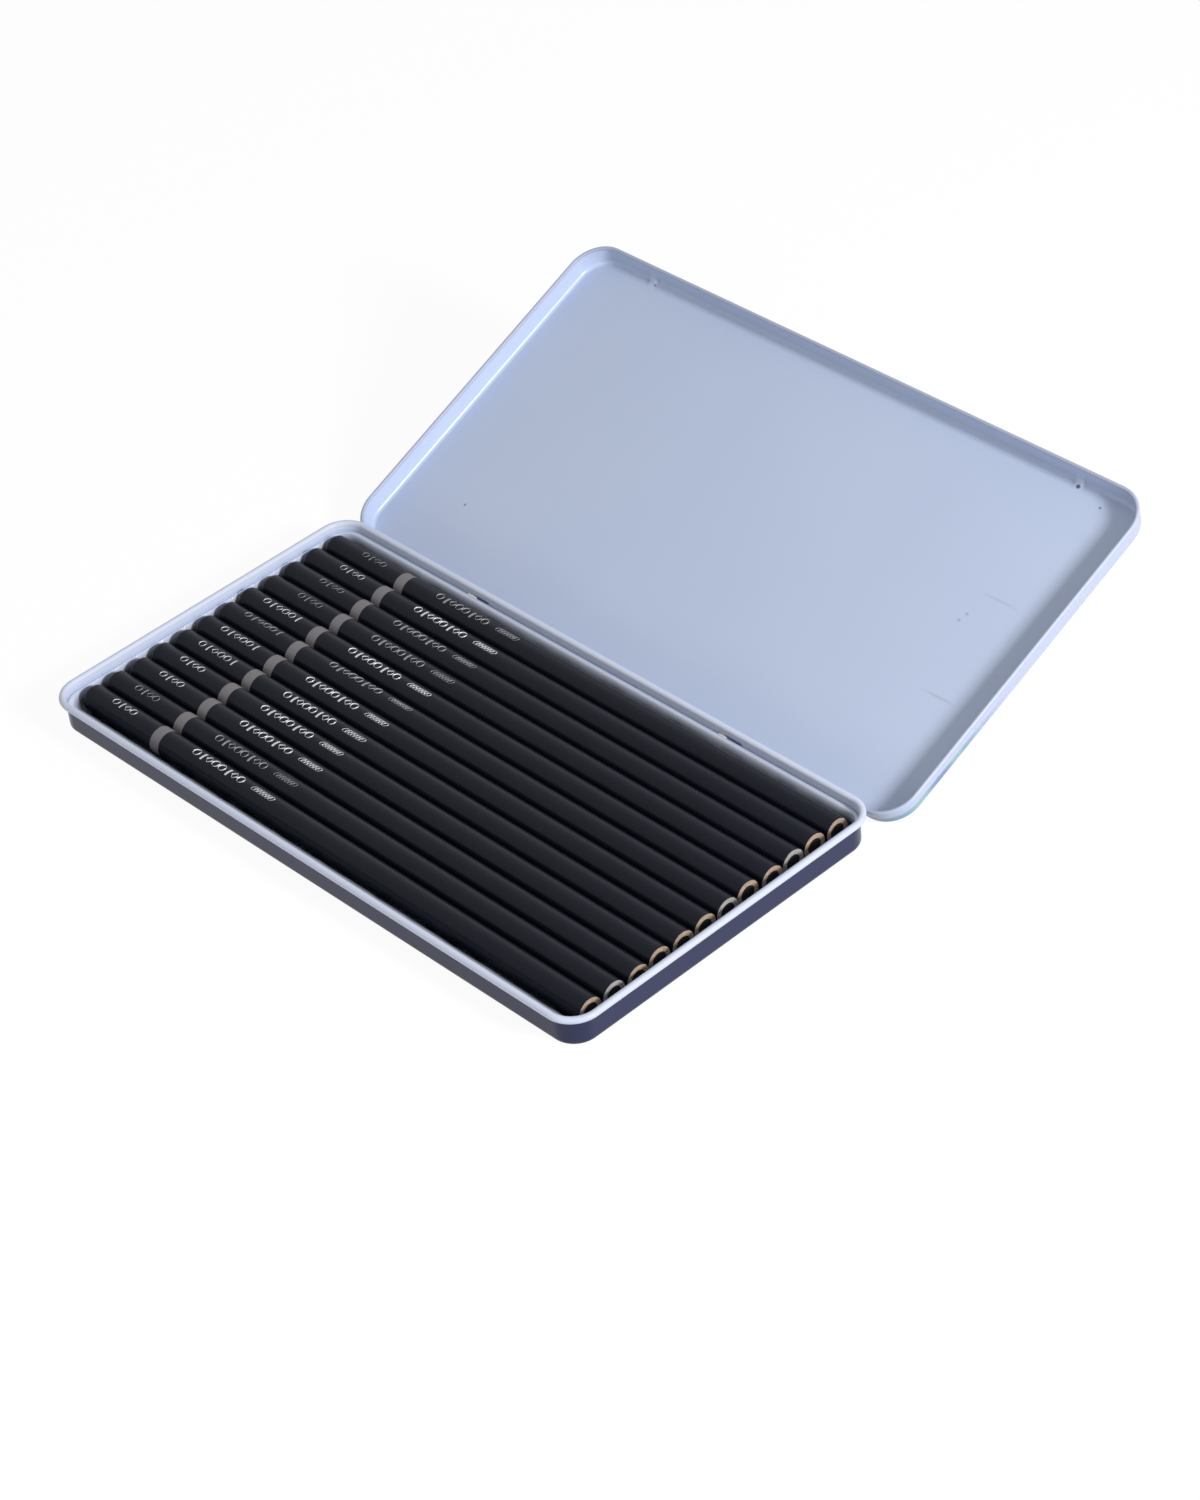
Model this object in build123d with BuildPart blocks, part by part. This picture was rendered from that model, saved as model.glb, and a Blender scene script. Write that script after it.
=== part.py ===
"""Pencil tin with a hinged lid, a formed tray and twelve charcoal pencils.

Millimetres. The origin is the centre of the base's underside, X runs along the pencils,
+Y points to the hinge and +Z up. The lid stands open, as it rests on the table.
"""

import os
from math import cos, radians, sin, sqrt

from build123d import *

os.makedirs("parts", exist_ok=True)

# Sheet metal, and the flat steps that stand for its small radii
SHEET = 0.28
CURL_STEPS = 10
HEM_SIDES = 12
BEND_STEPS = 3
LUG_STEPS = 9
LUG_ROOT_STEPS = 2

# Base: size over the rolled rim, and its section
BASE_LENGTH = 188.0
BASE_WIDTH = 99.0
BASE_HEIGHT = 9.2
CURL_DIAMETER = 1.8
CURL_WRAP = 285.0
BASE_CORNER_RADIUS = 8.0
BASE_BEND_RADIUS = 1.2

# Lid: clearance over the rim, and its section
LID_GAP_SIDE = 1.0
LID_GAP_FRONT = 1.0
LID_INSIDE_CLEARANCE = 0.62
LID_SHIFT = 0.7
LID_HEM_DIAMETER = 1.0
LID_CORNER_RADIUS = 9.5
LID_BEND_RADIUS = 1.5
OPEN_ANGLE = 157.0

# Pressed dents where the lid's front wall meets its top, in the base's X
DENT_PLACES = (-76.0, 71.0)
DENT_WIDTH = 2.6
DENT_LEG = 1.85

# Hinge: two lugs bent out of the base's back wall, rolled round the lid's hem
HINGE_PLACES = (-42.0, 46.6)
HINGE_REACH = 0.95
HINGE_HEIGHT = 4.7
LUG_WIDTH = 7.0
LUG_SIDE_RELIEF = 0.5
LUG_CLEARANCE = 0.06
LUG_WRAP = 262.0
LUG_RISE_ANGLE = 35.0
LUG_ROOT_RADIUS = 0.6
WINDOW_TOP_STRIP = 0.1
NOTCH_WIDTH = 9.0
NOTCH_HEIGHT = 2.0

# Tray: its pocket's margins are measured from the base's rim
TRAY_SHEET = 0.4
TRAY_WALL_GAP = 0.37
TRAY_FLOOR_GAP = 0.1
TRAY_EDGE_HEIGHT = 6.5
TRAY_LIP = 0.5
POCKET_FRONT_MARGIN = 6.41
POCKET_BACK_MARGIN = 4.41
POCKET_END_MARGIN = 3.4
POCKET_CORNER_RADIUS = 3.0
SLOPE_START_HEIGHT = 3.2
RIDGE_HEIGHT = 1.7
RIDGE_TOP_WIDTH = 0.9
RIDGE_FOOT_WIDTH = 3.2

# Pencils fill the pocket, and each has slid along it by its own amount
PENCIL_SLIDES = (0.7, 0.8, 1.1, 0.4, 0.7, 0.4, 0.4, -0.3, 0.4, 0.0, -0.2, 0.1)
PENCIL_COUNT = len(PENCIL_SLIDES)
PENCIL_GAP = 0.18
PENCIL_FLOOR_GAP = 0.12
PENCIL_SIDE_GAP = 0.5
PENCIL_TIP_GAP = 0.6
PENCIL_CUT_GAP = 2.8
DIP_PROFILE = ((0.0, 0.7), (0.35, 0.9), (1.1, 1.0))
CORE_SHARE = 0.59
CORE_CLEARANCE = 0.03
CORE_BLIND_LENGTH = 3.0

# Sizes that follow from those above
CURL_RADIUS = CURL_DIAMETER / 2
CURL_MID_RADIUS = CURL_RADIUS - SHEET / 2
CURL_HEIGHT = BASE_HEIGHT - CURL_RADIUS
CURL_INSET = CURL_RADIUS + CURL_MID_RADIUS
WALL_X = BASE_LENGTH / 2 - CURL_INSET
WALL_Y = BASE_WIDTH / 2 - CURL_INSET
WALL_CORNER = BASE_CORNER_RADIUS - CURL_INSET
INNER_X = WALL_X - SHEET / 2
INNER_Y = WALL_Y - SHEET / 2
INNER_CORNER = WALL_CORNER - SHEET / 2

HEM_RADIUS = LID_HEM_DIAMETER / 2
HINGE_Y = BASE_WIDTH / 2 + HINGE_REACH
LID_WALL_X = BASE_LENGTH / 2 + LID_GAP_SIDE + HEM_RADIUS
LID_FRONT_Y = BASE_WIDTH / 2 + LID_GAP_FRONT + HEM_RADIUS
LID_WALL_Y = (HINGE_Y + LID_FRONT_Y) / 2
LID_CENTRE_Y = (HINGE_Y - LID_FRONT_Y) / 2
LID_WALL_CORNER = LID_CORNER_RADIUS - HEM_RADIUS
LID_TOP = BASE_HEIGHT + LID_INSIDE_CLEARANCE + SHEET

TRAY_X = INNER_X - TRAY_WALL_GAP
TRAY_Y = INNER_Y - TRAY_WALL_GAP
TRAY_CORNER = INNER_CORNER - TRAY_WALL_GAP
TRAY_BOTTOM = SHEET + TRAY_FLOOR_GAP
TRAY_FLOOR = TRAY_BOTTOM + TRAY_SHEET
POCKET_FRONT = POCKET_FRONT_MARGIN - BASE_WIDTH / 2
POCKET_BACK = BASE_WIDTH / 2 - POCKET_BACK_MARGIN
POCKET_HALF_LENGTH = BASE_LENGTH / 2 - POCKET_END_MARGIN

PENCIL_ROW_WIDTH = POCKET_BACK - POCKET_FRONT - 2 * PENCIL_SIDE_GAP
PENCIL_PITCH = (PENCIL_ROW_WIDTH + PENCIL_GAP) / PENCIL_COUNT
PENCIL_RADIUS = (PENCIL_PITCH - PENCIL_GAP) / 2
PENCIL_AXIS_HEIGHT = TRAY_FLOOR + PENCIL_FLOOR_GAP + PENCIL_RADIUS
PENCIL_TIP_X = PENCIL_TIP_GAP - POCKET_HALF_LENGTH
PENCIL_CUT_X = POCKET_HALF_LENGTH - PENCIL_CUT_GAP
FIRST_PENCIL_Y = POCKET_FRONT + PENCIL_SIDE_GAP + PENCIL_RADIUS
PENCIL_Y = [FIRST_PENCIL_Y + n * PENCIL_PITCH for n in range(PENCIL_COUNT)]
CORE_RADIUS = CORE_SHARE * PENCIL_RADIUS


def side_plane(x):
    """A sketch plane across X, with sketch x along +Y and sketch y along +Z."""
    return Plane(origin=(x, 0, 0), x_dir=(0, 1, 0), z_dir=(1, 0, 0))


def arc_points(centre, radius, start, sweep, steps):
    """Points along an arc, both ends included, or its first point alone if steps is 0."""
    angles = [radians(start + sweep * n / max(steps, 1)) for n in range(steps + 1)]
    return [(centre[0] + radius * cos(a), centre[1] + radius * sin(a)) for a in angles]


def sheet_outline(*arcs):
    """The outline of a bent sheet along arcs, each (centre, mid radius, start, sweep, steps)."""
    left, right = [], []
    for centre, radius, start, sweep, steps in arcs:
        half = SHEET / 2 if sweep > 0 else -SHEET / 2
        right += arc_points(centre, radius + half, start, sweep, steps)
        left += arc_points(centre, radius - half, start, sweep, steps)
    return right + left[::-1]


def draw_loop(half_x, half_y, corner, centre_x=0.0, centre_y=0.0):
    """Draws a rounded rectangle, from the middle of its hinge side and round to it again."""
    point = Vector(centre_x, centre_y + half_y)
    heading = Vector(1, 0)
    straight_x = half_x - corner
    straight_y = half_y - corner
    for run in (straight_x, 2 * straight_y, 2 * straight_x, 2 * straight_y):
        Line(point, point + heading * run)
        bend = JernArc(point + heading * run, heading, corner, -90)
        point = bend @ 1
        heading = heading.rotate(Axis.Z, -90)
    Line(point, (centre_x, centre_y + half_y))


def pencil_solid(y, slide):
    """One casing: a blunt dipped end at -X and a bored, cut end at +X."""
    dip = [(PENCIL_TIP_X + depth, share * PENCIL_RADIUS) for depth, share in DIP_PROFILE]
    with BuildPart() as casing:
        with BuildSketch(Plane.XZ):
            with BuildLine():
                Polyline(
                    (PENCIL_TIP_X, 0),
                    *dip,
                    (PENCIL_CUT_X, PENCIL_RADIUS),
                    (PENCIL_CUT_X, 0),
                    close=True,
                )
            make_face()
        revolve(axis=Axis.X)
        with BuildSketch(side_plane(PENCIL_CUT_X)):
            Circle(CORE_RADIUS + CORE_CLEARANCE)
        extrude(amount=PENCIL_TIP_X + CORE_BLIND_LENGTH - PENCIL_CUT_X, mode=Mode.SUBTRACT)
    return Pos(slide, y, PENCIL_AXIS_HEIGHT) * casing.part


def core_solid(y, slide):
    """One charcoal core, flush with the cut end of its casing."""
    end_x = PENCIL_TIP_X + CORE_BLIND_LENGTH + CORE_CLEARANCE
    with BuildPart() as core:
        with BuildSketch(side_plane(end_x)):
            Circle(CORE_RADIUS)
        extrude(amount=PENCIL_CUT_X - end_x)
    return Pos(slide, y, PENCIL_AXIS_HEIGHT) * core.part


# Base shell: floor, bent wall and open curl as one sheet
base_bend_mid = BASE_BEND_RADIUS - SHEET / 2
with BuildPart() as base_shell:
    with BuildLine() as base_loop:
        draw_loop(WALL_X, WALL_Y, WALL_CORNER)
    with BuildSketch(side_plane(0)):
        with BuildLine():
            Polyline(
                *sheet_outline(
                    (
                        (WALL_Y - base_bend_mid, BASE_BEND_RADIUS),
                        base_bend_mid,
                        270,
                        90,
                        BEND_STEPS,
                    ),
                    (
                        (WALL_Y + CURL_MID_RADIUS, CURL_HEIGHT),
                        CURL_MID_RADIUS,
                        180,
                        -CURL_WRAP,
                        CURL_STEPS,
                    ),
                ),
                close=True,
            )
        make_face()
    sweep(path=base_loop.line)
    with BuildSketch():
        RectangleRounded(
            2 * (WALL_X - base_bend_mid),
            2 * (WALL_Y - base_bend_mid),
            WALL_CORNER - base_bend_mid,
        )
    extrude(amount=SHEET)

    # Windows in the back wall, below the curl
    lug_radius = HEM_RADIUS + LUG_CLEARANCE + SHEET / 2
    tangent_point = Vector(HINGE_Y, HINGE_HEIGHT) + Vector(lug_radius, 0).rotate(
        Axis.Z, LUG_RISE_ANGLE - 90
    )
    rise = Vector(1, 0).rotate(Axis.Z, LUG_RISE_ANGLE)
    root_z = tangent_point.Y - (tangent_point.X - WALL_Y) * rise.Y / rise.X
    window_top = CURL_HEIGHT - CURL_RADIUS - WINDOW_TOP_STRIP
    bend_half_angle = (90 - LUG_RISE_ANGLE) / 2
    root_tangent = LUG_ROOT_RADIUS * Vector(1, 0).rotate(Axis.Z, bend_half_angle).Y
    window_bottom = root_z - root_tangent
    with BuildSketch(Plane.XZ.offset(-(WALL_Y - SHEET))):
        for hinge_x in HINGE_PLACES:
            with Locations((hinge_x, (window_top + window_bottom) / 2)):
                Rectangle(LUG_WIDTH + 2 * LUG_SIDE_RELIEF, window_top - window_bottom)
    extrude(amount=-2 * SHEET, mode=Mode.SUBTRACT)

    # Lugs, bent out of the windows and rolled round the hem
    lug_bend_y = WALL_Y + LUG_ROOT_RADIUS
    for hinge_x in HINGE_PLACES:
        with BuildSketch(side_plane(hinge_x - LUG_WIDTH / 2)):
            with BuildLine():
                Polyline(
                    *sheet_outline(
                        ((lug_bend_y, window_bottom - SHEET), LUG_ROOT_RADIUS, 180, 0, 0),
                        (
                            (lug_bend_y, window_bottom),
                            LUG_ROOT_RADIUS,
                            180,
                            LUG_RISE_ANGLE - 90,
                            LUG_ROOT_STEPS,
                        ),
                        (
                            (HINGE_Y, HINGE_HEIGHT),
                            lug_radius,
                            LUG_RISE_ANGLE - 90,
                            LUG_WRAP,
                            LUG_STEPS,
                        ),
                    ),
                    close=True,
                )
            make_face()
        extrude(amount=LUG_WIDTH)
base_shell.part.label = "base_shell"
export_step(base_shell.part, "parts/base_shell.step")

# Lid shell, modelled shut, then turned open on its hinge
lid_bend_mid = LID_BEND_RADIUS - SHEET / 2
with BuildPart() as lid_shut:
    with BuildLine() as lid_loop:
        draw_loop(LID_WALL_X, LID_WALL_Y, LID_WALL_CORNER, LID_SHIFT, LID_CENTRE_Y)
    with BuildSketch(side_plane(LID_SHIFT)):
        with BuildLine():
            Polyline(
                *sheet_outline(
                    (
                        (HINGE_Y - lid_bend_mid, LID_TOP - LID_BEND_RADIUS),
                        lid_bend_mid,
                        90,
                        -90,
                        BEND_STEPS,
                    ),
                    ((HINGE_Y - lid_bend_mid, HINGE_HEIGHT), lid_bend_mid, 0, 0, 0),
                ),
                close=True,
            )
        make_face()
        with Locations((HINGE_Y, HINGE_HEIGHT)):
            RegularPolygon(HEM_RADIUS, HEM_SIDES)
    sweep(path=lid_loop.line)
    with BuildSketch(Plane.XY.offset(LID_TOP - SHEET)):
        with Locations((LID_SHIFT, LID_CENTRE_Y)):
            RectangleRounded(
                2 * (LID_WALL_X - lid_bend_mid),
                2 * (LID_WALL_Y - lid_bend_mid),
                LID_WALL_CORNER - lid_bend_mid,
            )
    extrude(amount=SHEET)

    # Notches that let the lugs reach the hem
    with BuildSketch(side_plane(0)) as notch_outline:
        with Locations((HINGE_Y, HINGE_HEIGHT + NOTCH_HEIGHT / 2)):
            Rectangle(2 * HEM_RADIUS, NOTCH_HEIGHT)
        with Locations((HINGE_Y, HINGE_HEIGHT)):
            RegularPolygon(HEM_RADIUS, HEM_SIDES, mode=Mode.SUBTRACT)
    for hinge_x in HINGE_PLACES:
        notch = extrude(notch_outline.sketch, amount=NOTCH_WIDTH, mode=Mode.PRIVATE)
        add(Pos(hinge_x - NOTCH_WIDTH / 2, 0, 0) * notch, mode=Mode.SUBTRACT)

    # Pressed dents at the front bend: metal added inside, the hollow cut outside
    front_inner = -LID_FRONT_Y + SHEET / 2
    top_inner = LID_TOP - SHEET
    hollow_leg = DENT_LEG + (2 - sqrt(2)) * SHEET
    for dent_x in DENT_PLACES:
        with BuildSketch(side_plane(dent_x - DENT_WIDTH / 2)):
            with BuildLine():
                Polyline(
                    (front_inner - SHEET / 2, top_inner + SHEET / 2),
                    (front_inner + DENT_LEG, top_inner + SHEET / 2),
                    (front_inner + DENT_LEG, top_inner),
                    (front_inner, top_inner - DENT_LEG),
                    (front_inner - SHEET / 2, top_inner - DENT_LEG),
                    close=True,
                )
            make_face()
        extrude(amount=DENT_WIDTH)
        with BuildSketch(side_plane(dent_x - DENT_WIDTH / 2 + SHEET)):
            with BuildLine():
                Polyline(
                    (front_inner - SHEET, top_inner + SHEET),
                    (front_inner - SHEET + hollow_leg, top_inner + SHEET),
                    (front_inner - SHEET, top_inner + SHEET - hollow_leg),
                    close=True,
                )
            make_face()
        extrude(amount=DENT_WIDTH - 2 * SHEET, mode=Mode.SUBTRACT)
hinge_axis = Axis((0, HINGE_Y, HINGE_HEIGHT), (1, 0, 0))
lid_shell = lid_shut.part.rotate(hinge_axis, -OPEN_ANGLE)
lid_shell.label = "lid_shell"
export_step(lid_shell, "parts/lid_shell.step")

# Pencil tray: a lip, sloped sides, a pocket, and ridges between the pencils
pocket_centre = (0, (POCKET_FRONT + POCKET_BACK) / 2)
pocket_length = 2 * POCKET_HALF_LENGTH
pocket_width = POCKET_BACK - POCKET_FRONT
mouth_length = 2 * (TRAY_X - TRAY_LIP)
mouth_width = 2 * (TRAY_Y - TRAY_LIP)
mouth_corner = TRAY_CORNER - TRAY_LIP
with BuildPart() as pencil_tray:
    with BuildSketch(Plane.XY.offset(TRAY_EDGE_HEIGHT - TRAY_SHEET)):
        RectangleRounded(2 * TRAY_X, 2 * TRAY_Y, TRAY_CORNER)
    extrude(amount=TRAY_SHEET)
    with BuildSketch(Plane.XY.offset(SLOPE_START_HEIGHT - TRAY_SHEET)):
        with Locations(pocket_centre):
            RectangleRounded(
                pocket_length + 2 * TRAY_SHEET,
                pocket_width + 2 * TRAY_SHEET,
                POCKET_CORNER_RADIUS + TRAY_SHEET,
            )
    with BuildSketch(Plane.XY.offset(TRAY_EDGE_HEIGHT - TRAY_SHEET)):
        RectangleRounded(
            mouth_length + TRAY_SHEET, mouth_width + TRAY_SHEET, mouth_corner + TRAY_SHEET / 2
        )
    loft()
    with BuildSketch(Plane.XY.offset(TRAY_BOTTOM)):
        with Locations(pocket_centre):
            RectangleRounded(
                pocket_length + 2 * TRAY_SHEET,
                pocket_width + 2 * TRAY_SHEET,
                POCKET_CORNER_RADIUS + TRAY_SHEET,
            )
    extrude(amount=SLOPE_START_HEIGHT - TRAY_SHEET - TRAY_BOTTOM)
    with BuildSketch(Plane.XY.offset(TRAY_FLOOR)):
        with Locations(pocket_centre):
            RectangleRounded(pocket_length, pocket_width, POCKET_CORNER_RADIUS)
    extrude(amount=SLOPE_START_HEIGHT - TRAY_FLOOR, mode=Mode.SUBTRACT)
    with BuildSketch(Plane.XY.offset(SLOPE_START_HEIGHT)):
        with Locations(pocket_centre):
            RectangleRounded(pocket_length, pocket_width, POCKET_CORNER_RADIUS)
    with BuildSketch(Plane.XY.offset(TRAY_EDGE_HEIGHT)):
        RectangleRounded(mouth_length, mouth_width, mouth_corner)
    loft(mode=Mode.SUBTRACT)

    # Ridges between the pencils, hollow underneath
    for near_y, far_y in zip(PENCIL_Y, PENCIL_Y[1:]):
        middle_y = (near_y + far_y) / 2
        for foot_z, narrower, mode in (
            (TRAY_FLOOR, 0, Mode.ADD),
            (TRAY_BOTTOM, TRAY_SHEET / 2, Mode.SUBTRACT),
        ):
            half_foot = RIDGE_FOOT_WIDTH / 2 - narrower
            half_top = RIDGE_TOP_WIDTH / 2 - narrower
            with BuildSketch(side_plane(-POCKET_HALF_LENGTH)):
                with BuildLine():
                    Polyline(
                        (middle_y - half_foot, foot_z),
                        (middle_y - half_top, foot_z + RIDGE_HEIGHT),
                        (middle_y + half_top, foot_z + RIDGE_HEIGHT),
                        (middle_y + half_foot, foot_z),
                        close=True,
                    )
                make_face()
            extrude(amount=pocket_length, mode=mode)
pencil_tray.part.label = "pencil_tray"
export_step(pencil_tray.part, "parts/pencil_tray.step")

# Pencils, numbered from the front
for number, (pencil_y, slide) in enumerate(zip(PENCIL_Y, PENCIL_SLIDES), start=1):
    casing_part = pencil_solid(pencil_y, slide)
    casing_part.label = f"pencil_casing_{number:02d}"
    export_step(casing_part, f"parts/{casing_part.label}.step")
    core_part = core_solid(pencil_y, slide)
    core_part.label = f"pencil_core_{number:02d}"
    export_step(core_part, f"parts/{core_part.label}.step")
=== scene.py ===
"""Looks of a pencil tin with a hinged lid, a formed tray and twelve charcoal pencils.

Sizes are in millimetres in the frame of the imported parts: X runs along the pencils, +Y points to
the hinge and +Z up. The lid is shaped shut and then turned open on its hinge.
"""

from __future__ import annotations

import logging
import math
from collections.abc import Callable, Iterable, Sequence
from dataclasses import dataclass, replace
from enum import Enum
from functools import partial
from typing import Any

import bpy
from mathutils import Matrix, Vector

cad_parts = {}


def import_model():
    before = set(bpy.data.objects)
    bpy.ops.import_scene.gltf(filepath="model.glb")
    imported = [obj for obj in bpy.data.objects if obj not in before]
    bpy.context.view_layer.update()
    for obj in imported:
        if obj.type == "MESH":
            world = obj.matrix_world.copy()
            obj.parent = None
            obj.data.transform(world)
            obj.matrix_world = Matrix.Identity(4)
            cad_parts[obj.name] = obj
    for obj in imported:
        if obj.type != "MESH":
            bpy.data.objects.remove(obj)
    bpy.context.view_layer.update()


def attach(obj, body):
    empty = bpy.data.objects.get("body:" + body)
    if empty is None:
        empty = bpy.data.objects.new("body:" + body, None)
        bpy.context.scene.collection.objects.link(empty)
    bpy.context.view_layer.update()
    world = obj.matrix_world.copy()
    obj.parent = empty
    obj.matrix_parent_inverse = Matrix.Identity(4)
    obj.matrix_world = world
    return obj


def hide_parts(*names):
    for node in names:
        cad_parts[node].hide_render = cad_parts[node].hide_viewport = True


MM = 0.001
SHARP_DEG = 40.0
LOG = logging.getLogger("pencil_tin")

# The sockets of a Mix node that carry colours
MIX_SHARE, MIX_UNDER, MIX_OVER, MIX_RESULT = 0, 6, 7, 2

# What is added to the unevenness of the painted shade in the tray's pocket, and how far up a face
# has to look to carry that shade
POCKET_SHADE_EVEN, POCKET_SHADE_UPWARD = 0.35, 0.1

Material = bpy.types.Material
Node = bpy.types.Node
Piece = bpy.types.Object
Tree = bpy.types.NodeTree
Point = tuple[float, float, float]
Section = list[tuple[float, float]]
Layers = list[tuple[Any, Any]]


def linear(hex_colour: str) -> tuple[float, float, float, float]:
    """Turns an sRGB hex colour into linear RGBA.

    Args:
        hex_colour: Six hex digits with a leading hash.

    Returns:
        Linear red, green, blue and an alpha of 1.
    """
    values = [int(hex_colour[n : n + 2], 16) / 255 for n in (1, 3, 5)]
    red, green, blue = (
        v / 12.92 if v <= 0.04045 else ((v + 0.055) / 1.055) ** 2.4 for v in values
    )
    return red, green, blue, 1.0


def add_node(
    tree: Tree, kind: str, inputs: dict[str | int, Any] | Sequence[Any] = (), **settings: Any
) -> Node:
    """Adds a node with its settings and links.

    Args:
        tree: The node tree that gets it.
        kind: The node's type name.
        inputs: Its inputs by name or in order: plain values, sockets, or nodes, which give
            their first output.
        **settings: Attributes of the node.

    Returns:
        The new node.
    """
    node = tree.nodes.new(kind)
    for name, value in settings.items():
        setattr(node, name, value)
    pairs = inputs.items() if isinstance(inputs, dict) else enumerate(inputs)
    for key, value in pairs:
        if isinstance(value, Node):
            value = value.outputs[0]
        if isinstance(value, bpy.types.NodeSocket):
            tree.links.new(value, node.inputs[key])
        else:
            node.inputs[key].default_value = value
    return node


def arc(
    centre: tuple[float, float], radius: float, start: float, end: float, steps: int
) -> Section:
    """Points along an arc of a section.

    Args:
        centre: The arc's centre.
        radius: Its radius.
        start: Its first angle in degrees.
        end: Its last angle in degrees.
        steps: How many steps divide it.

    Returns:
        The points, both ends included.
    """
    angles = [math.radians(start + (end - start) * n / steps) for n in range(steps + 1)]
    return [(centre[0] + radius * math.cos(a), centre[1] + radius * math.sin(a)) for a in angles]


def add_mesh(
    name: str,
    points: Iterable[Point],
    faces: Sequence[Sequence[int]],
    finishes: Sequence[Finish] = (),
    choice: Sequence[int] | None = None,
) -> Piece:
    """Makes a smooth-shaded piece from points in millimetres.

    Args:
        name: The piece's name.
        points: Its points, in millimetres.
        faces: Its faces, as places in points.
        finishes: Its finishes.
        choice: Which finish each face has.

    Returns:
        The new piece.
    """
    mesh = bpy.data.meshes.new(name)
    mesh.from_pydata([[c * MM for c in p] for p in points], [], faces)
    for finish in finishes:
        mesh.materials.append(finish.material())
    if choice:
        mesh.polygons.foreach_set("material_index", choice)
    mesh.polygons.foreach_set("use_smooth", [True] * len(mesh.polygons))
    mesh.set_sharp_from_angle(angle=math.radians(SHARP_DEG))
    piece = bpy.data.objects.new(name, mesh)
    bpy.context.scene.collection.objects.link(piece)
    return piece


def bake(piece: Piece) -> None:
    """Turns a piece's modifiers into plain mesh.

    Args:
        piece: The piece.
    """
    graph = bpy.context.evaluated_depsgraph_get()
    mesh = bpy.data.meshes.new_from_object(piece.evaluated_get(graph))
    piece.modifiers.clear()
    piece.data = mesh
    mesh.name = piece.name


def even_shading(piece: Piece) -> None:
    """Lets the large faces lead the shading, so that flat sheet looks flat up to its bends.

    Args:
        piece: The piece.
    """
    modifier = piece.modifiers.new("even_shading", "WEIGHTED_NORMAL")
    modifier.keep_sharp = True
    modifier.weight = 100
    bake(piece)


def join(pieces: Sequence[Piece]) -> Piece:
    """Joins pieces of one body into the first of them.

    Args:
        pieces: The pieces, whose objects sit at the origin.

    Returns:
        The joined piece.
    """
    with bpy.context.temp_override(
        active_object=pieces[0], object=pieces[0], selected_editable_objects=list(pieces)
    ):
        bpy.ops.object.join()
    return pieces[0]


@dataclass(frozen=True)
class Hinge:
    """Where the lid turns.

    Args:
        places: The middles of the two lugs in x.
        y: The y of its axis, which is the hem's.
        z: The z of its axis.
        open_deg: The angle at which the lid stands open.
    """

    places: tuple[float, float] = (46.6, -42.0)
    y: float = 50.45
    z: float = 4.7
    open_deg: float = 157.0

    def stops(self, width: float) -> list[float]:
        """Gives the x of both ends of a window as wide as this at each lug, from +X to -X."""
        return [x + side * width / 2 for x in self.places for side in (1, -1)]


HINGE = Hinge()


@dataclass(frozen=True)
class Mark:
    """A small dark mark on the open lid's lacquer.

    Args:
        centre: Its middle in millimetres.
        half_length: Half its length along X.
        half_width: Half its width.
        strength: How much of the lacquer's colour it hides.
    """

    centre: Point
    half_length: float
    half_width: float
    strength: float


# Dark spots in the two dents and beside one of them, specks, and two faint scuffs along X
LID_MARKS: tuple[Mark, ...] = (
    Mark((-72.1, 143.5, 39.2), 0.6, 0.6, 0.75),
    Mark((73.3, 143.4, 38.9), 0.8, 0.7, 0.85),
    Mark((82.0, 141.2, 37.7), 0.5, 0.5, 0.6),
    Mark((-72.9, 71.8, 8.2), 0.45, 0.5, 0.6),
    Mark((70.7, 102.7, 21.3), 0.6, 0.5, 0.3),
    Mark((71.4, 104.8, 22.2), 0.6, 0.5, 0.3),
    Mark((80.4, 84.6, 13.6), 5.5, 0.5, 0.14),
    Mark((76.5, 111.0, 24.9), 6.8, 0.5, 0.11),
)


def marked(tree: Tree, place: Any) -> Layers:
    """Lays the lid's small marks over its lacquer, each solid within half its reach.

    Args:
        tree: The material's node tree.
        place: The position socket.

    Returns:
        A layer for each mark.
    """
    node = partial(add_node, tree)
    layers: Layers = []
    for mark in LID_MARKS:
        centre = tuple(c * MM for c in mark.centre)
        away = node("ShaderNodeVectorMath", [place, centre], operation="SUBTRACT")
        along, across = (1 / (size * MM) for size in (mark.half_length, mark.half_width))
        sizes = (along, across, across)
        scaled = node("ShaderNodeVectorMath", [away, sizes], operation="MULTIPLY")
        reach = node("ShaderNodeVectorMath", [scaled], operation="LENGTH").outputs["Value"]
        ramp = {"Value": reach, "From Min": 0.5, "To Min": mark.strength, "To Max": 0.0}
        layers.append((node("ShaderNodeMapRange", ramp), linear("#2e3038")))
    return layers


def painted_rim_shade(tree: Tree, place: Any) -> Layers:
    """Darkens the rim's right end with painted shade, which tones down the key lamp's light on it.

    Args:
        tree: The material's node tree.
        place: The position socket.

    Returns:
        The one layer.
    """
    node = partial(add_node, tree)
    x = node("ShaderNodeSeparateXYZ", [place]).outputs["X"]
    ramp = {"Value": x, "From Min": 89 * MM, "From Max": 93 * MM}
    return [(node("ShaderNodeMapRange", ramp), linear("#b9bfd4"))]


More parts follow.
